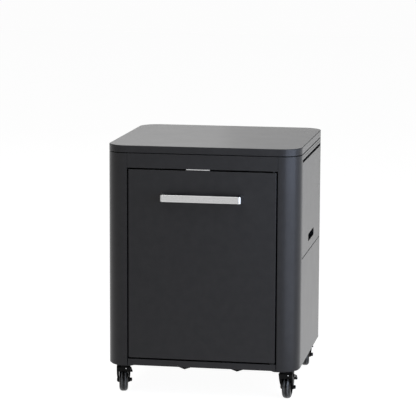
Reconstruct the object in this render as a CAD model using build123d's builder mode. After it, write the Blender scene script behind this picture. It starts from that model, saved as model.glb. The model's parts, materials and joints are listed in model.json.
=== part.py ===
from build123d import *
import os

# Overall size of the table, in millimetres
table_width = 632
table_depth = 610
table_height = 830
body_clearance = 107.5
corner_radius = 65
post_width = 70.15

# Sheet thicknesses and fits
frame_sheet = 1.5
panel_sheet = 1.2
rail_depth = 22
bend_radius = 1
seam = 0.6
seat_clearance = 0.3
hole_clearance = 0.2
running_clearance = 0.08

# Worktop: a folded steel tray on a sealing strip, with two stiffening channels
worktop_edge = 22.5
worktop_sheet = 1.5
worktop_edge_radius = 2
worktop_lip = 24
lip_sheet = 1.5
stiffener_width = 60
stiffener_spacing = 240
seal_height = 3
seal_width = 12
seal_inset = 10

# Corner posts: hollow, closed by a cap and by a thick foot that takes the castor stem
post_inner_radius = 3
post_foot = 6
post_cap = 3

# Front rails and door
front_rail_height = 46.6
front_rail_seam = 0.9
bottom_rail_height = 20.6
bottom_rail_seam = 2.5
door_gap = 5.2
door_thickness = 18
hinge_edge_distance = 10
hinge_pin_radius = 4
hinge_pin_reach = 10
hinge_pin_root = 25
hinge_flange_radius = 7
hinge_flange = 3
bush_wall = 1.5
bush_flange_radius = 9
bush_flange = 1.5
bush_length = 12
door_backing_sheet = 1.2

# Door handle, keeper, magnet and stop
handle_projection = 35
handle_length = 264
handle_height = 22.6
handle_bar = 5
handle_leg = 8
handle_bend_radius = 10
handle_inner_radius = 5
handle_edge_radius = 1.4
handle_below_door_top = 86.5
handle_screw_radius = 2
handle_screw_depth = 12
handle_screw_head_radius = 4
handle_screw_head = 2.5
keeper_width = 77
keeper_offset = -13.5
keeper_thickness = 2.8
keeper_depth = 12
keeper_setback = 1
magnet_thickness = 0.6
stop_width = 14
stop_leg = 20
stop_sheet = 2.5

# Sides: rail, fold-up leaf with its grip slot, lower panel and inner panel
side_rail_height = 17.5
side_rail_groove = 1.2
side_rail_groove_depth = 0.8
leaf_top_gap = 8.5
leaf_end_gap = 2.5
leaf_height = 313
leaf_thickness = 16
leaf_split_gap = 2
leaf_axis_below_top = 9
leaf_backing_sheet = 1.2
leaf_pin_radius = 3
leaf_pin_root = 18
leaf_pin_flange_radius = 6
leaf_pin_flange = 2
grip_length = 143
grip_height = 25
grip_corner_radius = 5
grip_above_edge = 31
grip_wall = 2
grip_relief = 5
pivot_length = 12
pivot_width = 14
pivot_height = 18
pivot_outer_wall = 2

# Floor tray and base plates
lug_width = 70
lug_drop = 12
lug_positions = (-59, 114)
base_plate = 4
base_plate_reach = 17
base_plate_inset = 4
base_plate_chamfer = 10
base_screw_insets = ((59, 18), (12, 59))
base_screw_radius = 2.5
base_screw_head_radius = 4.5
base_screw_head = 2.2
base_screw_length = 14

# Castors
castor_inset_x = 45
castor_inset_y = 62
castor_angles = {"front_left": 11, "front_right": -1, "back_left": 8, "back_right": 8}
castor_trail = 22
wheel_radius = 38
wheel_width = 29
tread_radius = 11
tyre_thickness = 14.5
hub_rim = 3.5
hub_rim_width = 25
hub_web = 7
hub_boss_radius = 10
hub_boss_width = 29.8
hub_hole_radius = 3.5
hub_hole_count = 6
stem_radius = 6
stem_above_foot = 8
stem_collar_radius = 10
stem_collar = 0.7
stem_head_radius = 10
stem_head = 4
stem_head_space = 1
crown_radius = 22.5
crown_height = 12
crown_waist_radius = 20
crown_waist_height = 3
crown_cap_radius = 21.5
crown_cap_height = 4.5
crown_chamfer = 1.5
bridge_sheet = 3
bridge_length = 44
fork_shoulder_width = 45
fork_shoulder_drop = 20
fork_foot_width = 35
wheel_slot_width = 30.4
apron_drop = 19
axle_boss_radius = 9.5
axle_radius = 4
axle_seat_width = 42
axle_seat_radius = 8
axle_head_radius = 5.5
axle_head = 1.5
axle_nut_radius = 6.5
axle_nut = 6
axle_end = 1
pedal_axis_trail = 6
pedal_axis_drop = 10.5
pedal_axis_boss = 5
pedal_arm_thickness = 2.5
pedal_arm_end_trail = 50
pedal_arm_end_drop = 22
pedal_arm_end_radius = 4
pedal_pad_trail = 44
pedal_pad_length = 13
pedal_pad_inner = 16
pedal_pad_outer = 29.5
pedal_pad_height = 13
pedal_pad_drop = 32.5
pedal_pad_radius = 1.2
pedal_pin_radius = 2.5
pedal_pin_bore = 6

# Places worked out from the sizes above
half_width = table_width / 2
half_depth = table_depth / 2
front_face = (handle_projection - table_depth) / 2
back_face = front_face + table_depth
centre_y = (front_face + back_face) / 2
frame_top = table_height - worktop_edge - seal_height
worktop_bottom = table_height - worktop_edge
post_inner_x = half_width - post_width
post_inner_y = half_depth - post_width
front_rail_bottom = frame_top - front_rail_height
bottom_rail_top = body_clearance + bottom_rail_height
door_top = front_rail_bottom - door_gap
door_bottom = bottom_rail_top + door_gap
door_width = 2 * (post_inner_x - door_gap)
door_height = door_top - door_bottom
hinge_x = door_width / 2 - hinge_edge_distance
hinge_y = front_face + door_thickness / 2
handle_z = door_top - handle_below_door_top
leaf_top = frame_top - side_rail_height - leaf_top_gap
leaf_bottom = leaf_top - leaf_height
leaf_width = 2 * (post_inner_y - leaf_end_gap)
leaf_axis_x = half_width - leaf_thickness / 2
leaf_axis_z = leaf_top - leaf_axis_below_top
grip_z = leaf_bottom + grip_above_edge + grip_height / 2
sleeve_length = grip_length + 2 * grip_relief
sleeve_height = grip_height + 2 * grip_relief
sleeve_radius = grip_corner_radius + grip_relief
lower_panel_top = leaf_bottom - leaf_split_gap
inner_panel_face = half_width - rail_depth
castor_height = body_clearance - base_plate
castor_x = half_width - castor_inset_x
castor_y = half_depth - castor_inset_y

# Working planes: the ground at the middle of the cabinet, and the four outer faces
ground = Plane(origin=(0, centre_y, 0))
door_middle_z = (door_top + door_bottom) / 2
front_plane = Plane(origin=(0, front_face, 0), x_dir=(1, 0, 0), z_dir=(0, -1, 0))
back_plane = Plane(origin=(0, back_face, 0), x_dir=(-1, 0, 0), z_dir=(0, 1, 0))
right_plane = Plane(origin=(half_width, centre_y, 0), x_dir=(0, 1, 0), z_dir=(1, 0, 0))
front_section = Plane(origin=(0, front_face, 0), x_dir=(0, 1, 0), z_dir=(1, 0, 0))
right_section = Plane(origin=(half_width, centre_y, 0), x_dir=(-1, 0, 0), z_dir=(0, 1, 0))
low_corner = (Align.MIN, Align.MIN)

os.makedirs("parts", exist_ok=True)


def save(piece, name):
    """Label a finished piece and write it as its own file."""
    piece.label = name
    export_step(piece, f"parts/{name}.step")


def save_pair(right_piece, name):
    """Write a right-hand piece and its mirror image on the left."""
    save(mirror(right_piece, about=Plane.YZ), f"{name}_left")
    save(right_piece, f"{name}_right")


def folded_tray(outer_plane, middle_z, width, height, depth, sheet):
    """A sheet folded back on four sides, with a small bend round its outer face."""
    outward = Axis(outer_plane.origin, outer_plane.z_dir)
    with BuildPart() as tray:
        with BuildSketch(outer_plane):
            with Locations((0, middle_z)):
                Rectangle(width, height)
        extrude(amount=-depth)
        fillet(tray.faces().sort_by(outward)[-1].edges(), radius=bend_radius)
        with BuildSketch(outer_plane.offset(-sheet)):
            with Locations((0, middle_z)):
                Rectangle(width - 2 * sheet, height - 2 * sheet)
        extrude(amount=-depth, mode=Mode.SUBTRACT)
    return tray.part


def flat_sheet(face_plane, middle_z, width, height, sheet):
    """A plain flat sheet behind a face plane."""
    with BuildPart() as panel:
        with BuildSketch(face_plane):
            with Locations((0, middle_z)):
                Rectangle(width, height)
        extrude(amount=-sheet)
    return panel.part


def channel_rail(section_plane, base_z, height, length):
    """A C-shaped rail, open towards the inside of the cabinet."""
    with BuildPart() as rail:
        with BuildSketch(section_plane):
            with Locations((0, base_z)):
                Rectangle(rail_depth, height, align=low_corner)
            with Locations((frame_sheet, base_z + frame_sheet)):
                Rectangle(
                    rail_depth,
                    height - 2 * frame_sheet,
                    align=low_corner,
                    mode=Mode.SUBTRACT,
                )
        extrude(amount=length / 2, both=True)
        lengthwise = Axis(section_plane.origin, section_plane.z_dir)
        inward = Axis(section_plane.origin, section_plane.x_dir)
        outer_edges = rail.edges().filter_by(lengthwise).group_by(inward)[0]
        fillet(outer_edges, radius=bend_radius)
    return rail.part


# Worktop tray: a hollow slab with a rounded top edge and a lip turned in underneath
with BuildPart() as worktop:
    with BuildSketch(ground.offset(worktop_bottom)):
        RectangleRounded(table_width, table_depth, corner_radius)
    extrude(amount=worktop_edge)
    fillet(worktop.faces().sort_by(Axis.Z)[-1].edges(), radius=worktop_edge_radius)
    with BuildSketch(ground.offset(worktop_bottom + lip_sheet)):
        RectangleRounded(
            table_width - 2 * worktop_sheet,
            table_depth - 2 * worktop_sheet,
            corner_radius - worktop_sheet,
        )
    extrude(amount=worktop_edge - lip_sheet - worktop_sheet, mode=Mode.SUBTRACT)
    with BuildSketch(ground.offset(worktop_bottom)):
        RectangleRounded(
            table_width - 2 * worktop_lip,
            table_depth - 2 * worktop_lip,
            corner_radius - worktop_lip,
        )
    extrude(amount=lip_sheet, mode=Mode.SUBTRACT)
save(worktop.part, "worktop")

# Stiffening channels welded under the worktop sheet, their ends on the lip
stiffener_height = worktop_edge - lip_sheet - worktop_sheet
stiffener_length = table_width - 2 * (worktop_sheet + seat_clearance)
stiffener_section = Plane(
    origin=(0, centre_y, worktop_bottom + lip_sheet), x_dir=(0, 1, 0), z_dir=(1, 0, 0)
)
with BuildPart() as worktop_stiffeners:
    with BuildSketch(stiffener_section):
        with GridLocations(stiffener_spacing, 0, 2, 1):
            Rectangle(stiffener_width, stiffener_height, align=(Align.CENTER, Align.MIN))
            Rectangle(
                stiffener_width - 2 * panel_sheet,
                stiffener_height - panel_sheet,
                align=(Align.CENTER, Align.MIN),
                mode=Mode.SUBTRACT,
            )
    extrude(amount=stiffener_length / 2, both=True)
save(worktop_stiffeners.part, "worktop_stiffeners")

# Sealing strip that carries the worktop and leaves the shadow line under its edge
with BuildPart() as worktop_seal:
    with BuildSketch(ground.offset(frame_top)):
        RectangleRounded(
            table_width - 2 * seal_inset, table_depth - 2 * seal_inset, corner_radius - seal_inset
        )
        RectangleRounded(
            table_width - 2 * (seal_inset + seal_width),
            table_depth - 2 * (seal_inset + seal_width),
            corner_radius - seal_inset - seal_width,
            mode=Mode.SUBTRACT,
        )
    extrude(amount=seal_height)
save(worktop_seal.part, "worktop_seal")

# Corner post: square hollow post with one large round corner, drawn for the back right
post_middle_x = half_width - post_width / 2
post_middle_y = half_depth - post_width / 2
with BuildPart() as post:
    with BuildSketch(ground.offset(body_clearance)) as post_outline:
        with Locations((post_middle_x, post_middle_y)):
            Rectangle(post_width, post_width)
        outside_corner = post_outline.vertices().sort_by_distance((half_width, half_depth, 0))[0]
        fillet(outside_corner, radius=corner_radius)
        inside_corner = post_outline.vertices().sort_by_distance((post_inner_x, post_inner_y, 0))[0]
        fillet(inside_corner, radius=post_inner_radius)
    extrude(amount=frame_top - body_clearance)
    with BuildSketch(ground.offset(body_clearance + post_foot)):
        add(post_outline.sketch_local)
        offset(amount=-frame_sheet, mode=Mode.REPLACE)
    extrude(amount=frame_top - body_clearance - post_foot - post_cap, mode=Mode.SUBTRACT)
    with BuildSketch(ground.offset(body_clearance)):
        with Locations((castor_x, castor_y)):
            Circle(stem_radius + hole_clearance)
        for inset_x, inset_y in base_screw_insets:
            with Locations((half_width - inset_x, half_depth - inset_y)):
                Circle(base_screw_radius + hole_clearance)
    extrude(amount=post_foot, mode=Mode.SUBTRACT)
    with BuildSketch(
        Plane(origin=(leaf_axis_x, centre_y + post_inner_y, leaf_axis_z), z_dir=(0, 1, 0))
    ):
        Circle(leaf_pin_radius + hole_clearance)
    extrude(amount=frame_sheet, mode=Mode.SUBTRACT)
middle_plane = Plane(origin=(0, centre_y, 0), z_dir=(0, 1, 0))
front_post = mirror(post.part, about=middle_plane)
save(mirror(post.part, about=Plane.YZ), "post_back_left")
save(post.part, "post_back_right")
save(mirror(front_post, about=Plane.YZ), "post_front_left")
save(front_post, "post_front_right")

# Front rails between the posts, each bored for a hinge bush of the door
top_rail_length = 2 * (post_inner_x - front_rail_seam)
bottom_rail_length = 2 * (post_inner_x - bottom_rail_seam)
top_rail_channel = channel_rail(
    front_section, front_rail_bottom, front_rail_height, top_rail_length
)
bottom_rail_channel = channel_rail(
    front_section, body_clearance, bottom_rail_height, bottom_rail_length
)
bush_radius = hinge_pin_radius + running_clearance + bush_wall
with BuildPart() as front_top_rail:
    add(top_rail_channel)
    with BuildSketch(Plane.XY.offset(front_rail_bottom)):
        with Locations((hinge_x, hinge_y)):
            Circle(bush_radius)
    extrude(amount=frame_sheet, mode=Mode.SUBTRACT)
save(front_top_rail.part, "front_top_rail")
with BuildPart() as front_bottom_rail:
    add(bottom_rail_channel)
    with BuildSketch(Plane.XY.offset(bottom_rail_top - frame_sheet)):
        with Locations((hinge_x, hinge_y)):
            Circle(bush_radius)
    extrude(amount=frame_sheet, mode=Mode.SUBTRACT)
save(front_bottom_rail.part, "front_bottom_rail")

# Back panel: one full-height tray between the back posts
back_height = frame_top - body_clearance
back_width = 2 * (post_inner_x - seam)
back_panel = folded_tray(
    back_plane, body_clearance + back_height / 2, back_width, back_height, rail_depth, panel_sheet
)
save(back_panel, "back_panel")

# Side rails under the worktop, with a shallow groove along the outer face
side_length = 2 * (post_inner_y - seam)
side_rail_channel = channel_rail(
    right_section, frame_top - side_rail_height, side_rail_height, side_length
)
with BuildPart() as side_rail:
    add(side_rail_channel)
    with BuildSketch(right_section):
        with Locations((0, frame_top - side_rail_height / 2)):
            Rectangle(2 * side_rail_groove_depth, side_rail_groove)
    extrude(amount=side_length / 2, both=True, mode=Mode.SUBTRACT)
save_pair(side_rail.part, "side_rail")

# Inner side panels close the cabinet behind the leaves
inner_panel = flat_sheet(
    right_plane.offset(-rail_depth),
    body_clearance + back_height / 2,
    side_length,
    back_height,
    panel_sheet,
)
save_pair(inner_panel, "inner_panel")

# Lower side panels: fixed trays below the leaves
lower_height = lower_panel_top - body_clearance
lower_panel = folded_tray(
    right_plane,
    body_clearance + lower_height / 2,
    side_length,
    lower_height,
    rail_depth,
    panel_sheet,
)
save_pair(lower_panel, "lower_panel")

# Floor tray: notched round the posts, edges folded down onto the base plates, two front lugs
floor_front = front_face + rail_depth + seam
floor_back = back_face - rail_depth - seam
floor_width = 2 * (inner_panel_face - panel_sheet - seam)
floor_depth = floor_back - floor_front
with BuildPart() as floor_panel:
    with BuildSketch(ground.offset(body_clearance)) as floor_outline:
        Rectangle(floor_width, 2 * (post_inner_y - seam))
        Rectangle(back_width, floor_depth)
    extrude(amount=bottom_rail_height)
    with BuildSketch(ground.offset(body_clearance)):
        add(floor_outline.sketch_local)
        offset(amount=-panel_sheet, kind=Kind.INTERSECTION, mode=Mode.REPLACE)
    extrude(amount=bottom_rail_height - panel_sheet, mode=Mode.SUBTRACT)
    with BuildSketch(Plane(origin=(0, floor_front, 0), x_dir=(1, 0, 0), z_dir=(0, -1, 0))):
        for lug_x in lug_positions:
            with BuildLine():
                Polyline(
                    (lug_x - lug_width / 2, body_clearance),
                    (lug_x, body_clearance - lug_drop),
                    (lug_x + lug_width / 2, body_clearance),
                    close=True,
                )
            make_face()
    extrude(amount=-panel_sheet)
save(floor_panel.part, "floor_panel")

# Base plates under the posts, tying rails, panels and floor together
plate_size = post_width + base_plate_reach - base_plate_inset
plate_outer_x = half_width - base_plate_inset
plate_outer_y = half_depth - base_plate_inset
with BuildPart() as base_plate_right:
    with BuildSketch(ground.offset(castor_height)) as plate_outline:
        with Locations((plate_outer_x, plate_outer_y)):
            Rectangle(plate_size, plate_size, align=(Align.MAX, Align.MAX))
        plate_corners = plate_outline.vertices().sort_by_distance((half_width, half_depth, 0))
        chamfer(plate_corners[1:], length=base_plate_chamfer)
        round_corner = plate_outline.vertices().sort_by_distance((half_width, half_depth, 0))[0]
        fillet(round_corner, radius=corner_radius - base_plate_inset)
        with Locations((castor_x, castor_y)):
            Circle(stem_radius + hole_clearance, mode=Mode.SUBTRACT)
        for inset_x, inset_y in base_screw_insets:
            with Locations((half_width - inset_x, half_depth - inset_y)):
                Circle(base_screw_radius + hole_clearance, mode=Mode.SUBTRACT)
    extrude(amount=base_plate)
with BuildPart() as base_plates:
    add(base_plate_right.part)
    mirror(about=middle_plane)
    mirror(about=Plane.YZ)
save(base_plates.part, "base_plates")

# Pan-head screws through the base plates into the post feet
with BuildPart() as base_screws:
    with BuildSketch(ground.offset(castor_height)):
        for inset_x, inset_y in base_screw_insets:
            with Locations((half_width - inset_x, half_depth - inset_y)):
                Circle(base_screw_head_radius)
    extrude(amount=-base_screw_head)
    with BuildSketch(ground.offset(castor_height)):
        for inset_x, inset_y in base_screw_insets:
            with Locations((half_width - inset_x, half_depth - inset_y)):
                Circle(base_screw_radius)
    extrude(amount=base_screw_length)
    chamfer(base_screws.faces().group_by(Axis.Z)[0].edges(), length=base_screw_head / 3)
    mirror(about=middle_plane)
    mirror(about=Plane.YZ)
save(base_screws.part, "base_screws")

# Door skin: an inset tray flush with the front, bored for its pins and handle screws
door_tray = folded_tray(
    front_plane, door_middle_z, door_width, door_height, door_thickness, panel_sheet
)
handle_screw_x = handle_length / 2 - handle_leg / 2
with BuildPart() as door_skin:
    add(door_tray)
    with BuildSketch(Plane.XY.offset(door_bottom)):
        with Locations((hinge_x, hinge_y)):
            Circle(hinge_pin_radius + hole_clearance)
    extrude(amount=door_height, mode=Mode.SUBTRACT)
    with BuildSketch(front_plane):
        with Locations((-handle_screw_x, handle_z), (handle_screw_x, handle_z)):
            Circle(handle_screw_radius + hole_clearance)
    extrude(amount=-panel_sheet, mode=Mode.SUBTRACT)
save(door_skin.part, "door_skin")

# Door backing: a flat sheet set inside the folded edges of the skin
door_backing = flat_sheet(
    front_plane.offset(-(door_thickness - door_backing_sheet)),
    door_middle_z,
    door_width - 2 * (panel_sheet + seat_clearance),
    door_height - 2 * (panel_sheet + seat_clearance),
    door_backing_sheet,
)
save(door_backing, "door_backing")

# Door handle: a flat bar bent back at both ends
handle_inner_length = handle_length - 2 * handle_leg
with BuildPart() as door_handle:
    with BuildSketch(Plane(origin=(0, front_face, handle_z))) as handle_outline:
        Rectangle(handle_length, handle_projection, align=(Align.CENTER, Align.MAX))
        fillet(handle_outline.vertices().group_by(Axis.Y)[0], radius=handle_bend_radius)
        Rectangle(
            handle_inner_length,
            handle_projection - handle_bar,
            align=(Align.CENTER, Align.MAX),
            mode=Mode.SUBTRACT,
        )
        bar_back = -(handle_projection - handle_bar)
        inner_corners = (
            handle_outline.vertices()
            .sort_by_distance((-handle_inner_length / 2, bar_back, 0))[:1]
            + handle_outline.vertices()
            .sort_by_distance((handle_inner_length / 2, bar_back, 0))[:1]
        )
        fillet(inner_corners, radius=handle_inner_radius)
    extrude(amount=handle_height / 2, both=True)
    rim_edges = door_handle.faces().filter_by(Axis.Z).edges().filter_by(
        lambda edge: edge.center().Y < front_face - handle_edge_radius
    )
    fillet(rim_edges, radius=handle_edge_radius)
    with BuildSketch(front_plane):
        with Locations((-handle_screw_x, handle_z), (handle_screw_x, handle_z)):
            Circle(handle_screw_radius + hole_clearance)
    extrude(amount=handle_screw_depth + seat_clearance, mode=Mode.SUBTRACT)
save(door_handle.part, "door_handle")

# Handle screws, put in from inside the door
with BuildPart() as handle_screws:
    with BuildSketch(front_plane.offset(-panel_sheet)):
        with Locations((-handle_screw_x, handle_z), (handle_screw_x, handle_z)):
            Circle(handle_screw_head_radius)
    extrude(amount=-handle_screw_head)
    with BuildSketch(front_plane.offset(-panel_sheet)):
        with Locations((-handle_screw_x, handle_z), (handle_screw_x, handle_z)):
            Circle(handle_screw_radius)
    extrude(amount=panel_sheet + handle_screw_depth)
save(handle_screws.part, "handle_screws")

# Hinge pins: flanged inside the door, turning in the bushes of the rails
pin_top = front_rail_bottom + hinge_pin_reach
pin_bottom = bottom_rail_top - hinge_pin_reach
flange_top = door_top - panel_sheet
flange_bottom = door_bottom + panel_sheet
with BuildPart() as door_pins:
    with BuildSketch(Plane.XY.offset(flange_top)):
        with Locations((hinge_x, hinge_y)):
            Circle(hinge_flange_radius)
    extrude(amount=-hinge_flange)
    with BuildSketch(Plane.XY.offset(flange_bottom)):
        with Locations((hinge_x, hinge_y)):
            Circle(hinge_flange_radius)
    extrude(amount=hinge_flange)
    with BuildSketch(Plane.XY.offset(pin_top)):
        with Locations((hinge_x, hinge_y)):
            Circle(hinge_pin_radius)
    extrude(amount=-(pin_top - door_top + hinge_pin_root))
    with BuildSketch(Plane.XY.offset(pin_bottom)):
        with Locations((hinge_x, hinge_y)):
            Circle(hinge_pin_radius)
    extrude(amount=door_bottom - pin_bottom + hinge_pin_root)
save(door_pins.part, "door_pins")

# Flanged bushes pressed into the rails; the lower flange carries the door
bearing_flange = door_gap - seat_clearance
with BuildPart() as door_bushes:
    with BuildSketch(Plane.XY.offset(front_rail_bottom)):
        with Locations((hinge_x, hinge_y)):
            Circle(bush_flange_radius)
    extrude(amount=-bush_flange)
    with BuildSketch(Plane.XY.offset(front_rail_bottom)):
        with Locations((hinge_x, hinge_y)):
            Circle(bush_radius)
    extrude(amount=bush_length)
    with BuildSketch(Plane.XY.offset(bottom_rail_top)):
        with Locations((hinge_x, hinge_y)):
            Circle(bush_flange_radius)
    extrude(amount=bearing_flange)
    with BuildSketch(Plane.XY.offset(bottom_rail_top)):
        with Locations((hinge_x, hinge_y)):
            Circle(bush_radius)
    extrude(amount=-bush_length)
    with BuildSketch(Plane.XY.offset(bottom_rail_top - bush_length)):
        with Locations((hinge_x, hinge_y)):
            Circle(hinge_pin_radius + running_clearance)
    extrude(amount=front_rail_bottom + 2 * bush_length - bottom_rail_top, mode=Mode.SUBTRACT)
save(door_bushes.part, "door_bushes")

# Keeper plate under the top rail and the magnet strip on the door below it
keeper_y = front_face + keeper_setback
with BuildPart() as door_keeper:
    with BuildSketch(Plane(origin=(keeper_offset, keeper_y, front_rail_bottom))):
        Rectangle(keeper_width, keeper_depth, align=(Align.CENTER, Align.MIN))
    extrude(amount=-keeper_thickness)
save(door_keeper.part, "door_keeper")
with BuildPart() as door_magnet:
    with BuildSketch(Plane(origin=(keeper_offset, keeper_y + bend_radius, door_top))):
        Rectangle(keeper_width, keeper_depth, align=(Align.CENTER, Align.MIN))
    extrude(amount=magnet_thickness)
save(door_magnet.part, "door_magnet")

# Door stop: an angle strip on the left post, behind the free edge of the door
stop_front = front_face + door_thickness + seat_clearance
with BuildPart() as door_stop:
    with BuildSketch(Plane(origin=(-post_inner_x, stop_front, door_bottom))):
        Rectangle(stop_width, stop_sheet, align=low_corner)
        Rectangle(stop_sheet, stop_leg, align=low_corner)
    extrude(amount=door_height)
save(door_stop.part, "door_stop")

# Fold-up leaf: a tray with a grip slot near its lower edge and a bore at each end
leaf_middle_z = (leaf_top + leaf_bottom) / 2
leaf_tray = folded_tray(
    right_plane, leaf_middle_z, leaf_width, leaf_height, leaf_thickness, panel_sheet
)
leaf_axis_plane = Plane(origin=(leaf_axis_x, centre_y, leaf_axis_z), z_dir=(0, 1, 0))
with BuildPart() as leaf_skin:
    add(leaf_tray)
    with BuildSketch(right_plane):
        with Locations((0, grip_z)):
            RectangleRounded(grip_length, grip_height, grip_corner_radius)
    extrude(amount=-panel_sheet, mode=Mode.SUBTRACT)
    with BuildSketch(leaf_axis_plane):
        Circle(leaf_pin_radius + hole_clearance)
    extrude(amount=leaf_width / 2, both=True, mode=Mode.SUBTRACT)
save_pair(leaf_skin.part, "leaf_skin")

# Leaf backing and the sleeve round the grip slot, set back from the edge of the skin
leaf_backing_sheet_part = flat_sheet(
    right_plane.offset(-(leaf_thickness - leaf_backing_sheet)),
    leaf_middle_z,
    leaf_width - 2 * (panel_sheet + seat_clearance),
    leaf_height - 2 * (panel_sheet + seat_clearance),
    leaf_backing_sheet,
)
with BuildPart() as leaf_backing:
    add(leaf_backing_sheet_part)
    with BuildSketch(right_plane):
        with Locations((0, grip_z)):
            RectangleRounded(sleeve_length, sleeve_height, sleeve_radius)
    extrude(amount=-leaf_thickness, mode=Mode.SUBTRACT)
save_pair(leaf_backing.part, "leaf_backing")
with BuildPart() as leaf_grip:
    with BuildSketch(right_plane.offset(-panel_sheet)):
        with Locations((0, grip_z)):
            RectangleRounded(
                sleeve_length + 2 * grip_wall,
                sleeve_height + 2 * grip_wall,
                sleeve_radius + grip_wall,
            )
            RectangleRounded(sleeve_length, sleeve_height, sleeve_radius, mode=Mode.SUBTRACT)
    extrude(amount=-(leaf_thickness - panel_sheet - leaf_backing_sheet))
save_pair(leaf_grip.part, "leaf_grip")

# Leaf pins: flanged stubs in both ends of the leaf, reaching into the posts
pin_reach = leaf_end_gap + frame_sheet + pivot_length - seat_clearance
leaf_end = leaf_width / 2
with BuildPart() as leaf_pins:
    with BuildSketch(leaf_axis_plane.offset(leaf_end - panel_sheet)):
        Circle(leaf_pin_flange_radius)
    extrude(amount=-leaf_pin_flange)
    with BuildSketch(leaf_axis_plane.offset(leaf_end - leaf_pin_root)):
        Circle(leaf_pin_radius)
    extrude(amount=leaf_pin_root + pin_reach)
    mirror(about=middle_plane)
save_pair(leaf_pins.part, "leaf_pins")

# Locking pivot housings inside the posts, one at each end of both leaves
pivot_outer_x = leaf_pin_radius + running_clearance + pivot_outer_wall
with BuildPart() as leaf_pivots:
    with BuildSketch(
        Plane(
            origin=(leaf_axis_x, centre_y + post_inner_y + frame_sheet, leaf_axis_z),
            x_dir=(-1, 0, 0),
            z_dir=(0, 1, 0),
        )
    ):
        with Locations((-pivot_outer_x, 0)):
            Rectangle(pivot_width, pivot_height, align=(Align.MIN, Align.CENTER))
        Circle(leaf_pin_radius + running_clearance, mode=Mode.SUBTRACT)
    extrude(amount=pivot_length)
    mirror(about=middle_plane)
    mirror(about=Plane.YZ)
save(leaf_pivots.part, "leaf_pivots")

# Castor stems: threaded studs with a collar under the base plate and a head inside the fork
castor_points = [
    (side_x * castor_x, side_y * castor_y) for side_x in (-1, 1) for side_y in (-1, 1)
]
collar_bottom = castor_height - stem_collar
crown_top = collar_bottom - seat_clearance
crown_bottom = crown_top - crown_height
bridge_bottom = crown_bottom - bridge_sheet
stem_head_top = bridge_bottom - seat_clearance
stem_top = body_clearance + post_foot + stem_above_foot
with BuildPart() as castor_stems:
    with BuildSketch(ground.offset(castor_height)):
        with Locations(*castor_points):
            Circle(stem_collar_radius)
    extrude(amount=-stem_collar)
    with BuildSketch(ground.offset(stem_head_top)):
        with Locations(*castor_points):
            Circle(stem_head_radius)
    extrude(amount=-stem_head)
    with BuildSketch(ground.offset(stem_head_top)):
        with Locations(*castor_points):
            Circle(stem_radius)
    extrude(amount=stem_top - stem_head_top)
save(castor_stems.part, "castor_stems")

# Castor fork, drawn with its swivel axis upright at the origin and the wheel trailing in Y:
# a solid casting with two tapered legs, an apron in front of the wheel and a swivel crown
shoulder_z = crown_bottom - fork_shoulder_drop
apron_bottom = crown_bottom - apron_drop
fork_low = wheel_radius - axle_boss_radius
axle_point = (castor_trail, wheel_radius)
axle_seat = axle_seat_width / 2
shoulder_x = fork_shoulder_width / 2
foot_x = fork_foot_width / 2
pedal_axis_point = (pedal_axis_trail, crown_bottom - pedal_axis_drop)
with BuildPart() as fork:
    with BuildSketch(Plane.YZ):
        with Locations(axle_point):
            Circle(axle_boss_radius)
        with Locations((0, crown_bottom)):
            Rectangle(bridge_length, bridge_sheet, align=(Align.CENTER, Align.MAX))
        make_hull()
    extrude(amount=shoulder_x, both=True)
    with BuildSketch(Plane.XZ):
        with BuildLine():
            side = Line((shoulder_x, crown_bottom), (shoulder_x, shoulder_z))
            taper = TangentArc(side @ 1, (foot_x, fork_low), tangent=side % 1)
            foot = Line(taper @ 1, (0, fork_low))
            centre = Line(foot @ 1, (0, crown_bottom))
            Line(centre @ 1, side @ 0)
        make_face()
        mirror(about=Plane.YZ)
    extrude(amount=wheel_radius * 2, both=True, mode=Mode.INTERSECT)
    with BuildSketch(Plane.YZ):
        with Locations(axle_point):
            Circle(axle_seat_radius)
    extrude(amount=axle_seat, both=True)
    with BuildSketch(Plane.YZ):
        with BuildLine():
            Polyline(
                (-bridge_length, 0),
                (-bridge_length, apron_bottom),
                (0, apron_bottom),
                (0, bridge_bottom),
                (bridge_length, bridge_bottom),
                (bridge_length, 0),
                close=True,
            )
        make_face()
    extrude(amount=wheel_slot_width / 2, both=True, mode=Mode.SUBTRACT)
    with BuildSketch(Plane.XY.offset(bridge_bottom)):
        Circle(stem_head_radius + stem_head_space)
    extrude(amount=-(stem_head + seat_clearance + stem_head_space), mode=Mode.SUBTRACT)
    with BuildSketch(Plane.XY.offset(crown_bottom)):
        Circle(crown_radius)
    extrude(amount=crown_height - crown_cap_height - crown_waist_height)
    with BuildSketch(Plane.XY.offset(crown_top - crown_cap_height)):
        Circle(crown_waist_radius)
    extrude(amount=-crown_waist_height)
    with BuildSketch(Plane.XY.offset(crown_top)):
        Circle(crown_cap_radius)
    extrude(amount=-crown_cap_height)
    chamfer(fork.faces().sort_by(Axis.Z)[-1].edges(), length=crown_chamfer)
    with BuildSketch(Plane.XY.offset(bridge_bottom)):
        Circle(stem_radius + running_clearance)
    extrude(amount=bridge_sheet + crown_height, mode=Mode.SUBTRACT)
    with BuildSketch(Plane.YZ):
        with Locations(axle_point):
            Circle(axle_radius + running_clearance)
    extrude(amount=axle_seat, both=True, mode=Mode.SUBTRACT)
    with BuildSketch(Plane.YZ.offset(shoulder_x)):
        with Locations(pedal_axis_point):
            Circle(pedal_pin_radius + running_clearance)
    extrude(amount=-pedal_pin_bore, mode=Mode.SUBTRACT)

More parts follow.
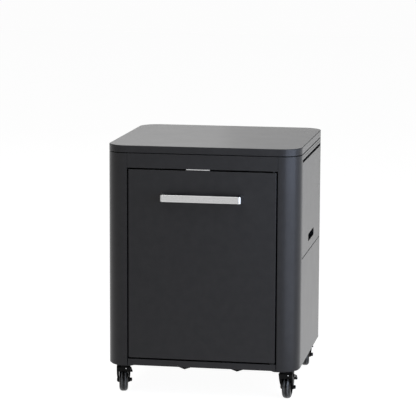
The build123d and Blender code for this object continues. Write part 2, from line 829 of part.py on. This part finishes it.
# Castor wheel: a round-shouldered tyre on a ribbed hub
wheel_section = Plane(
    origin=(0, castor_trail, wheel_radius), x_dir=(1, 0, 0), z_dir=(0, -1, 0)
)
wheel_axis = Axis((0, castor_trail, wheel_radius), (1, 0, 0))
hub_radius = wheel_radius - tyre_thickness
with BuildPart() as tyre:
    with BuildSketch(wheel_section) as tyre_section:
        with Locations((0, hub_radius)):
            Rectangle(wheel_width, tyre_thickness, align=(Align.CENTER, Align.MIN))
        fillet(tyre_section.vertices().group_by(Axis.Y)[-1], radius=tread_radius)
    revolve(axis=wheel_axis)
with BuildPart() as hub:
    with BuildSketch(wheel_section):
        with Locations((0, hub_radius - hub_rim)):
            Rectangle(hub_rim_width, hub_rim, align=(Align.CENTER, Align.MIN))
        with Locations((0, axle_radius + running_clearance)):
            Rectangle(
                hub_boss_width,
                hub_boss_radius - axle_radius - running_clearance,
                align=(Align.CENTER, Align.MIN),
            )
            Rectangle(
                hub_web,
                hub_radius - hub_rim - axle_radius,
                align=(Align.CENTER, Align.MIN),
            )
    revolve(axis=wheel_axis)
    with BuildSketch(Plane.YZ):
        with Locations(axle_point):
            with PolarLocations((hub_boss_radius + hub_radius - hub_rim) / 2, hub_hole_count):
                Circle(hub_hole_radius)
    extrude(amount=hub_web, both=True, mode=Mode.SUBTRACT)

# Castor axle: a bolt with a low head on one side and a lock nut on the other
axle_plane = Plane(origin=(0, castor_trail, wheel_radius), x_dir=(0, 1, 0), z_dir=(1, 0, 0))
with BuildPart() as axle:
    with BuildSketch(axle_plane.offset(-axle_seat)):
        Circle(axle_radius)
    extrude(amount=2 * axle_seat + axle_nut + axle_end)
    with BuildSketch(axle_plane.offset(-axle_seat)):
        Circle(axle_head_radius)
    extrude(amount=-axle_head)
    with BuildSketch(axle_plane.offset(axle_seat)):
        RegularPolygon(axle_nut_radius, 6)
    extrude(amount=axle_nut)
    chamfer(axle.faces().sort_by(Axis.X)[-1].edges(), length=axle_end / 3)
    fillet(axle.faces().sort_by(Axis.X)[0].edges(), radius=axle_head / 2)

# Brake pedal: an arm on a pin in the right leg, with a wedge-shaped pad at its end
arm_inner = shoulder_x + seat_clearance
arm_outer = arm_inner + pedal_arm_thickness
arm_end_point = (pedal_arm_end_trail, crown_bottom - pedal_arm_end_drop)
pad_bottom = crown_bottom - pedal_pad_drop
with BuildPart() as pedal:
    with BuildSketch(Plane.YZ.offset(arm_inner)):
        with Locations(pedal_axis_point):
            Circle(pedal_axis_boss)
        with Locations(arm_end_point):
            Circle(pedal_arm_end_radius)
        make_hull()
    extrude(amount=pedal_arm_thickness)
    with BuildSketch(Plane.XZ.offset(-pedal_pad_trail)) as pad_face:
        with BuildLine():
            Polyline(
                (pedal_pad_inner, pad_bottom),
                (pedal_pad_outer, pad_bottom),
                (arm_outer, pad_bottom + pedal_pad_height),
                (arm_inner, pad_bottom + pedal_pad_height),
                close=True,
            )
        make_face()
        fillet(pad_face.vertices().group_by(Axis.Y)[0], radius=pedal_pad_radius)
    extrude(amount=-pedal_pad_length)
    with BuildSketch(Plane.YZ.offset(arm_inner)):
        with Locations(pedal_axis_point):
            Circle(pedal_pin_radius)
    extrude(amount=-pedal_pin_bore)

# The four castors, each standing at its own swivel angle
castor_pieces = {"fork": fork, "tyre": tyre, "hub": hub, "axle": axle, "pedal": pedal}
for corner, angle in castor_angles.items():
    side_y = -1 if corner.startswith("front") else 1
    side_x = -1 if corner.endswith("left") else 1
    place = Location((side_x * castor_x, centre_y + side_y * castor_y, 0), (0, 0, angle))
    for piece_name, piece in castor_pieces.items():
        save(piece.part.moved(place), f"{piece_name}_{corner}")
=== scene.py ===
import json
import math

import bpy
from mathutils import Matrix, Vector


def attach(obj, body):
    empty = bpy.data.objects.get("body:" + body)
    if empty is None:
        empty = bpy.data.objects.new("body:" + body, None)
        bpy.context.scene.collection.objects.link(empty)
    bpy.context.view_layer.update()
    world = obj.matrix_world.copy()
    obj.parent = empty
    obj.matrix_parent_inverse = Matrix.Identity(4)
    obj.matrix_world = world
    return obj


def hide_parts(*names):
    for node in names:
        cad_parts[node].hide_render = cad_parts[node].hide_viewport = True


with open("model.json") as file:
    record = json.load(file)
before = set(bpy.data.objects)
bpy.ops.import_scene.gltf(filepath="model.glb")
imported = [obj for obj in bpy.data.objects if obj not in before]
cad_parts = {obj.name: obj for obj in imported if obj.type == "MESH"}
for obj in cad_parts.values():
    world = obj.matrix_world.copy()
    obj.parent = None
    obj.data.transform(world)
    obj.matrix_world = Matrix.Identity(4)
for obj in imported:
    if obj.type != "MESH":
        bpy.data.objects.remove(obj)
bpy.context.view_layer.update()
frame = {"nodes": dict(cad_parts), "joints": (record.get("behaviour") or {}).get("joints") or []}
nodes = frame["nodes"]

# Castor wheels
# Each wheel is a round-shouldered black rubber tyre moulded onto a drilled plastic hub.
# A fine mould line runs round its crown and a ring round each wall. Lighter grey bands on both
# shoulders are painted highlight, standing in for lamp streaks reflected in the tread.
corners = ("front_left", "front_right", "back_left", "back_right")
joint_named = {joint["name"]: joint for joint in frame["joints"]}
tyre_steps = 96
tyre_half_width = 0.0145
tyre_outer_radius = 0.038
tyre_shoulder_radius = 0.011
tyre_inner_radius = 0.0235
shoulder_points = 12
mould_line_height = 0.00025
mould_line_width = 0.0008
wall_ring_point = 9
wall_ring_depth = 0.0006
# Reach of the painted highlight bands on each shoulder, measured from the tyre's middle.
highlight_band_from_middle = 0.003
highlight_band_to_wall = 0.0095
noise_low = 0.3
noise_high = 0.7
grain_height = 0.0002
edge_samples = 4


def add_mesh(name, points, faces, smooth=True):
    mesh = bpy.data.meshes.new(name)
    mesh.from_pydata(points, [], faces)
    mesh.validate()
    mesh.polygons.foreach_set("use_smooth", [smooth] * len(mesh.polygons))
    piece = bpy.data.objects.new(name, mesh)
    bpy.context.scene.collection.objects.link(piece)
    return piece


def turned_piece(name, outline, centre, axis, steps):
    """A closed outline of (along the axis, radius) pairs, turned about an axis."""
    turn = Vector((0, 0, 1)).rotation_difference(Vector(axis)).to_matrix()
    points = []
    faces = []
    count = len(outline)
    for step in range(steps):
        angle = 2 * math.pi * step / steps
        for along, radius in outline:
            local = Vector((radius * math.cos(angle), radius * math.sin(angle), along))
            points.append(Vector(centre) + turn @ local)
        here = step * count
        there = ((step + 1) % steps) * count
        for index in range(count):
            following = (index + 1) % count
            faces.append((here + index, there + index, there + following, here + following))
    return add_mesh(name, points, faces)


def new_finish(name):
    finish = bpy.data.materials.new(name)
    finish.use_nodes = True
    return finish, finish.node_tree, finish.node_tree.nodes["Principled BSDF"]


def add_node(tree, kind, **settings):
    node = tree.nodes.new(kind)
    for setting, value in settings.items():
        setattr(node, setting, value)
    return node


def grain(tree, scale, detail=3.0, stretch=(1, 1, 1)):
    """Noise in the object's own metres; scale is in spots to the metre."""
    place = add_node(tree, "ShaderNodeTexCoord")
    mapping = add_node(tree, "ShaderNodeMapping")
    mapping.inputs["Scale"].default_value = stretch
    noise = add_node(tree, "ShaderNodeTexNoise")
    noise.inputs["Scale"].default_value = scale
    noise.inputs["Detail"].default_value = detail
    tree.links.new(place.outputs["Object"], mapping.inputs["Vector"])
    tree.links.new(mapping.outputs["Vector"], noise.inputs["Vector"])
    return noise.outputs["Fac"]


def vary_colour(tree, shader, spots, dark, light):
    """Base colour that drifts between two tones with the noise."""
    ramp = add_node(tree, "ShaderNodeValToRGB")
    ramp.color_ramp.elements[0].position = noise_low
    ramp.color_ramp.elements[0].color = (*dark, 1)
    ramp.color_ramp.elements[1].position = noise_high
    ramp.color_ramp.elements[1].color = (*light, 1)
    tree.links.new(spots, ramp.inputs["Fac"])
    tree.links.new(ramp.outputs["Color"], shader.inputs["Base Color"])


def vary_roughness(tree, shader, spots, low, high):
    """Roughness that drifts between two values with the noise."""
    spread = add_node(tree, "ShaderNodeMapRange")
    spread.inputs["From Min"].default_value = noise_low
    spread.inputs["From Max"].default_value = noise_high
    spread.inputs["To Min"].default_value = low
    spread.inputs["To Max"].default_value = high
    tree.links.new(spots, spread.inputs["Value"])
    tree.links.new(spread.outputs["Result"], shader.inputs["Roughness"])


def raise_grain(tree, shader, spots, strength, edge_radius=0.0):
    """Bump from the noise, over edges that are eased by a small radius."""
    bump = add_node(tree, "ShaderNodeBump")
    bump.inputs["Strength"].default_value = strength
    bump.inputs["Distance"].default_value = grain_height
    tree.links.new(spots, bump.inputs["Height"])
    if edge_radius:
        eased = add_node(tree, "ShaderNodeBevel", samples=edge_samples)
        eased.inputs["Radius"].default_value = edge_radius
        tree.links.new(eased.outputs["Normal"], bump.inputs["Normal"])
    tree.links.new(bump.outputs["Normal"], shader.inputs["Normal"])


def coat(finish, *names):
    for name in names:
        nodes[name].data.materials.clear()
        nodes[name].data.materials.append(finish)


tyre_rubber, tree, shader = new_finish("tyre_rubber")
shader.inputs["Specular IOR Level"].default_value = 0.25
vary_colour(
    tree, shader, grain(tree, scale=60),
    dark=(0.003, 0.003, 0.003), light=(0.007, 0.007, 0.007),
)
vary_roughness(tree, shader, grain(tree, scale=140), low=0.24, high=0.34)
raise_grain(tree, shader, grain(tree, scale=1800, detail=4), strength=0.15)

# Lighter grey rubber for the shoulder bands: painted highlight standing in for reflected lamp
# streaks.
highlight_band_rubber, tree, shader = new_finish("highlight_band_rubber")
shader.inputs["Specular IOR Level"].default_value = 0.3
vary_colour(
    tree, shader, grain(tree, scale=90),
    dark=(0.1, 0.1, 0.1), light=(0.22, 0.22, 0.22),
)
vary_roughness(tree, shader, grain(tree, scale=140), low=0.28, high=0.38)
raise_grain(tree, shader, grain(tree, scale=1800, detail=4), strength=0.15)

hub_plastic, tree, shader = new_finish("hub_plastic")
shader.inputs["Specular IOR Level"].default_value = 0.2
vary_colour(
    tree, shader, grain(tree, scale=90),
    dark=(0.003, 0.003, 0.0035), light=(0.006, 0.006, 0.0065),
)
vary_roughness(tree, shader, grain(tree, scale=220), low=0.38, high=0.52)
raise_grain(tree, shader, grain(tree, scale=2600, detail=2), strength=0.12, edge_radius=0.0004)

tread_half = tyre_half_width - tyre_shoulder_radius
shoulder_base = tyre_outer_radius - tyre_shoulder_radius
tread_radius = tyre_outer_radius - mould_line_height
right_half = [(0.0, tyre_outer_radius), (mould_line_width, tread_radius)]
for index in range(shoulder_points + 1):
    sweep = math.pi / 2 * index / shoulder_points
    reach = tyre_shoulder_radius - mould_line_height
    if index == wall_ring_point:
        reach -= wall_ring_depth
    from_middle = tread_half + reach * math.sin(sweep)
    from_axle = shoulder_base + reach * math.cos(sweep)
    right_half.append((from_middle, from_axle))
right_half.append((right_half[-1][0], tyre_inner_radius))
left_half = [(-along, radius) for along, radius in reversed(right_half[1:])]
tyre_outline = left_half + right_half
for corner in corners:
    roll = joint_named[f"roll_{corner}"]
    tread = turned_piece(f"tread_{corner}", tyre_outline, roll["pos_m"], roll["axis"], tyre_steps)
    tread.data.materials.append(tyre_rubber)
    tread.data.materials.append(highlight_band_rubber)
    # Faces between the two reaches get the lighter painted highlight rubber.
    for face in tread.data.polygons:
        reaches = [abs(tyre_outline[point % len(tyre_outline)][0]) for point in face.vertices]
        in_highlight_band = min(reaches) > highlight_band_from_middle and max(reaches) < highlight_band_to_wall
        face.material_index = int(in_highlight_band)
    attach(tread, f"wheel_{corner}")
    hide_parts(f"tyre_{corner}")
    coat(hub_plastic, f"hub_{corner}")

# Castor forks, axles and brake pedals
# The forks are cast with a round swivel crown and painted black, with one rivet in the apron.
# A black bolt and nut hold each wheel, and the pedal is a moulded wedge on a pin.
castor_metal, tree, shader = new_finish("castor_metal")
shader.inputs["Specular IOR Level"].default_value = 0.06
vary_colour(
    tree, shader, grain(tree, scale=120),
    dark=(0.002, 0.002, 0.002), light=(0.004, 0.004, 0.004),
)
vary_roughness(tree, shader, grain(tree, scale=90), low=0.36, high=0.48)
raise_grain(tree, shader, grain(tree, scale=1400), strength=0.15, edge_radius=0.0006)

castor_bolt, tree, shader = new_finish("castor_bolt")
shader.inputs["Specular IOR Level"].default_value = 0.3
vary_colour(
    tree, shader, grain(tree, scale=200),
    dark=(0.003, 0.003, 0.003), light=(0.007, 0.007, 0.007),
)
vary_roughness(tree, shader, grain(tree, scale=300), low=0.28, high=0.4)
raise_grain(tree, shader, grain(tree, scale=2200), strength=0.1, edge_radius=0.0005)

bright_steel, tree, shader = new_finish("bright_steel")
shader.inputs["Metallic"].default_value = 1.0
vary_colour(
    tree, shader, grain(tree, scale=150),
    dark=(0.62, 0.62, 0.63), light=(0.74, 0.74, 0.75),
)
vary_roughness(tree, shader, grain(tree, scale=260), low=0.25, high=0.4)
raise_grain(tree, shader, grain(tree, scale=1600), strength=0.1, edge_radius=0.0003)

rivet_side = 0.0085
rivet_trail = -0.0203
rivet_height = 0.085
apron_normal_trail = -0.835
apron_normal_up = -0.55
rivet_outline = [
    (0.00005, 0.0004), (0.00005, 0.0024), (0.0006, 0.0021), (0.001, 0.0014), (0.0012, 0.0004),
]
rivet_steps = 24
for corner in corners:
    coat(castor_metal, f"fork_{corner}")
    coat(castor_bolt, f"axle_{corner}")
    coat(hub_plastic, f"pedal_{corner}")
    swivel_place = Vector(joint_named[f"swivel_{corner}"]["pos_m"])
    sideways = Vector(joint_named[f"roll_{corner}"]["axis"])
    trailing = Vector((-sideways.y, sideways.x, 0))
    rivet_place = swivel_place + sideways * rivet_side + trailing * rivet_trail
    rivet_place.z = rivet_height
    rivet_axis = trailing * apron_normal_trail + Vector((0, 0, apron_normal_up))
    rivet = turned_piece(
        f"fork_rivet_{corner}", rivet_outline, rivet_place, rivet_axis, rivet_steps
    )
    rivet.data.materials.append(bright_steel)
    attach(rivet, f"castor_{corner}")

# Base plates, castor stems and base screws
# Steel plates under the posts take the castor stems, and pan-head screws hold them.
# The stems and screws are zinc plated; the plates are painted with the body.
charcoal_paint, tree, shader = new_finish("charcoal_paint")
shader.inputs["Specular IOR Level"].default_value = 0.25
shader.inputs["Specular Tint"].default_value = (1, 0.955, 1, 1)
shader.inputs["Coat Weight"].default_value = 0.52
shader.inputs["Coat IOR"].default_value = 1.2
shader.inputs["Coat Roughness"].default_value = 0.16
vary_colour(
    tree, shader, grain(tree, scale=40),
    dark=(0.017, 0.017, 0.0177), light=(0.021, 0.021, 0.0217),
)
vary_roughness(tree, shader, grain(tree, scale=12), low=0.45, high=0.47)
raise_grain(tree, shader, grain(tree, scale=1300, detail=2), strength=0.03, edge_radius=0.0006)
coat(charcoal_paint, "base_plates")
coat(bright_steel, "castor_stems", "base_screws")

# Floor tray
# A shallow steel tray closes the cabinet below, notched round the posts.
# Two pointed lugs of the same sheet hang under its front edge, and all of it is matt black,
# darker than the body paint; this dark paint also stands in for the shade under the cabinet.
tray_black, tree, shader = new_finish("tray_black")
shader.inputs["Specular IOR Level"].default_value = 0.15
# Near-black colour: matt black paint, made darker than the body as painted shade under the
# cabinet.
vary_colour(
    tree, shader, grain(tree, scale=70),
    dark=(0.003, 0.003, 0.003), light=(0.006, 0.006, 0.006),
)
vary_roughness(tree, shader, grain(tree, scale=180), low=0.55, high=0.7)
raise_grain(tree, shader, grain(tree, scale=1500, detail=2), strength=0.08, edge_radius=0.0005)
coat(tray_black, "floor_panel")

# Posts, rails and fixed panels
# Rolled posts and folded steel sheet, spot welded and powder coated as one charcoal body.
# The satin coat has a fine grain and slightly uneven gloss.
body_nodes = (
    "post_front_left", "post_front_right", "post_back_left", "post_back_right",
    "front_top_rail", "front_bottom_rail", "side_rail_left", "side_rail_right",
    "back_panel", "inner_panel_left", "inner_panel_right",
    "lower_panel_left", "lower_panel_right",
)
coat(charcoal_paint, *body_nodes)

# Side leaves
# Folded steel trays with a backing sheet, hung on pins near their upper edge.
# A moulded sleeve lines the grip slot through each leaf, and plastic housings hold the pins.
for side in ("left", "right"):
    coat(charcoal_paint, f"leaf_skin_{side}", f"leaf_backing_{side}")
    coat(hub_plastic, f"leaf_grip_{side}")
    coat(bright_steel, f"leaf_pins_{side}")
coat(hub_plastic, "leaf_pivots")

# Door
# An inset steel tray with a backing sheet, on pins that turn in plastic bushes.
# A magnet strip on its top edge meets a bright keeper plate under the top rail.
magnet_rubber, tree, shader = new_finish("magnet_rubber")
vary_colour(
    tree, shader, grain(tree, scale=80),
    dark=(0.004, 0.004, 0.004), light=(0.008, 0.008, 0.008),
)
vary_roughness(tree, shader, grain(tree, scale=160), low=0.6, high=0.75)
raise_grain(tree, shader, grain(tree, scale=1500), strength=0.15)
coat(charcoal_paint, "door_skin", "door_backing", "door_stop")
coat(castor_bolt, "door_pins")
coat(bright_steel, "door_keeper", "handle_screws")
coat(hub_plastic, "door_bushes")
coat(magnet_rubber, "door_magnet")

# Door handle
# A flat aluminium bar bent back at both ends and brushed along its length.
# Screws from inside the door hold its two legs.
brush = (3, 900, 900)
brushed_bar, tree, shader = new_finish("brushed_bar")
shader.inputs["Metallic"].default_value = 1.0
shader.inputs["Anisotropic"].default_value = 0.7
shader.inputs["Anisotropic Rotation"].default_value = 0.25
along_bar = add_node(tree, "ShaderNodeTangent", direction_type="RADIAL", axis="Z")
tree.links.new(along_bar.outputs["Tangent"], shader.inputs["Tangent"])
vary_colour(
    tree, shader, grain(tree, scale=1.0, detail=4, stretch=brush),
    dark=(0.62, 0.62, 0.62), light=(0.7, 0.7, 0.7),
)
vary_roughness(tree, shader, grain(tree, scale=1.3, detail=4, stretch=brush), low=0.24, high=0.38)
raise_grain(tree, shader, grain(tree, scale=1.0, detail=4, stretch=brush), strength=0.06)
coat(brushed_bar, "door_handle")

# Worktop and its seal
# A folded steel tray with rounded corners, coated as the body, with channels welded inside.
# It sits on a black rubber strip that leaves a shadow line under its edge.
coat(charcoal_paint, "worktop", "worktop_stiffeners")
coat(magnet_rubber, "worktop_seal")

# Studio floor and backdrop
# One wide plain white floor, with a plain white wall far behind the table.
# Both are matt and show white to the camera and in reflections, and the floor keeps the shadow.
floor_reach = 40.0
wall_left = -7.0
wall_right = 0.6
wall_back = 16.0
wall_top = 14.0
stage_glow = 0.96
stage_grey = 0.25
floor_points = [
    (-floor_reach, -floor_reach, 0), (floor_reach, -floor_reach, 0),
    (floor_reach, floor_reach, 0), (-floor_reach, floor_reach, 0),
]
wall_points = [
    (wall_left, wall_back, 0), (wall_right, wall_back, 0),
    (wall_right, wall_back, wall_top), (wall_left, wall_back, wall_top),
]
stage_white, tree, shader = new_finish("stage_white")
shader.inputs["Base Color"].default_value = (stage_grey, stage_grey, stage_grey, 1)
shader.inputs["Roughness"].default_value = 0.9
shader.inputs["Specular IOR Level"].default_value = 0.0
shader.inputs["Emission Color"].default_value = (1, 1, 1, 1)
path = add_node(tree, "ShaderNodeLightPath")
seen = add_node(tree, "ShaderNodeMath", operation="MAXIMUM")
seen_through = add_node(tree, "ShaderNodeMath", operation="MAXIMUM")
glow = add_node(tree, "ShaderNodeMath", operation="MULTIPLY")
glow.inputs[1].default_value = stage_glow
tree.links.new(path.outputs["Is Camera Ray"], seen.inputs[0])
tree.links.new(path.outputs["Is Glossy Ray"], seen.inputs[1])
tree.links.new(seen.outputs["Value"], seen_through.inputs[0])
tree.links.new(path.outputs["Is Transmission Ray"], seen_through.inputs[1])
tree.links.new(seen_through.outputs["Value"], glow.inputs[0])
tree.links.new(glow.outputs["Value"], shader.inputs["Emission Strength"])
studio_floor = add_mesh("studio_floor", floor_points, [(0, 1, 2, 3)], smooth=False)
studio_floor.data.materials.append(stage_white)
studio_wall = add_mesh("studio_wall", wall_points, [(0, 3, 2, 1)], smooth=False)
studio_wall.data.materials.append(stage_white)

# Studio light
# A dim even surround and a large box overhead light the table, with a weak box high in front.
# Two cool boxes stand off the right front corner, and one box hangs behind.
plain_white = (1, 1, 1)
warm_white = (1, 0.98, 0.95)
cool_white = (0.75, 0.84, 1.0)
cooler_white = (0.67, 0.79, 1.0)
surround_strength = 0.08
world = bpy.data.worlds.new("studio_world")
bpy.context.scene.world = world
world.use_nodes = True
world_light = world.node_tree.nodes["Background"]
world_light.inputs["Color"].default_value = (*plain_white, 1)
world_light.inputs["Strength"].default_value = surround_strength


def soft_box(name, place, target, width, height, power, colour):
    lamp = bpy.data.lights.new(name, "AREA")
    lamp.shape = "RECTANGLE"
    lamp.size = width
    lamp.size_y = height
    lamp.energy = power
    lamp.color = colour
    light = bpy.data.objects.new(name, lamp)
    bpy.context.scene.collection.objects.link(light)
    light.location = place
    light.rotation_euler = (Vector(target) - Vector(place)).to_track_quat("-Z", "Y").to_euler()


soft_box(
    "overhead_box", place=(-0.6, -1.2, 3.6), target=(0, 0, 0.4),
    width=3.0, height=3.0, power=80, colour=plain_white,
)
soft_box(
    "side_box_low", place=(0.86, -0.72, 0.3), target=(-0.09, -0.41, 0.3),
    width=0.9, height=0.6, power=3.2, colour=cool_white,
)
soft_box(
    "side_box_high", place=(0.86, -0.72, 1.0), target=(-0.09, -0.41, 1.0),
    width=0.9, height=0.8, power=10, colour=cooler_white,
)
soft_box(
    "front_box", place=(-1.2, -3.0, 2.0), target=(-0.1, -0.3, 0.1),
    width=0.6, height=1.6, power=5, colour=warm_white,
)
soft_box(
    "back_box", place=(-2.15, 6.0, 2.68), target=(0, 0, 0.83),
    width=2.5, height=2.0, power=7.5, colour=plain_white,
)

# Camera
# Placed from the picture's straight edges: long lens, to the right of the front, looking down.
camera_place = Vector((1.1632, -6.8852, 1.6771))
camera_yaw = math.radians(9.8286)
camera_pitch = math.radians(8.8504)
camera_roll = math.radians(0.2408)
focal_pixels = 2111.86
picture_pixels = 416
sensor_width = 36.0
view_reach = 200.0
forward = Vector((
    -math.sin(camera_yaw) * math.cos(camera_pitch),
    math.cos(camera_yaw) * math.cos(camera_pitch),
    -math.sin(camera_pitch),
))
level = Vector((math.cos(camera_yaw), math.sin(camera_yaw), 0))
upward = level.cross(forward)
across = level * math.cos(camera_roll) + upward * math.sin(camera_roll)
upright = upward * math.cos(camera_roll) - level * math.sin(camera_roll)
camera_data = bpy.data.cameras.new("camera")
camera_data.sensor_width = sensor_width
camera_data.lens = focal_pixels / picture_pixels * sensor_width
camera_data.clip_end = view_reach
camera = bpy.data.objects.new("camera", camera_data)
bpy.context.scene.collection.objects.link(camera)
camera_turn = Matrix((across, upright, -forward)).transposed()
camera.matrix_world = Matrix.Translation(camera_place) @ camera_turn.to_4x4()
bpy.context.scene.camera = camera
bpy.context.scene.view_settings.view_transform = "Standard"
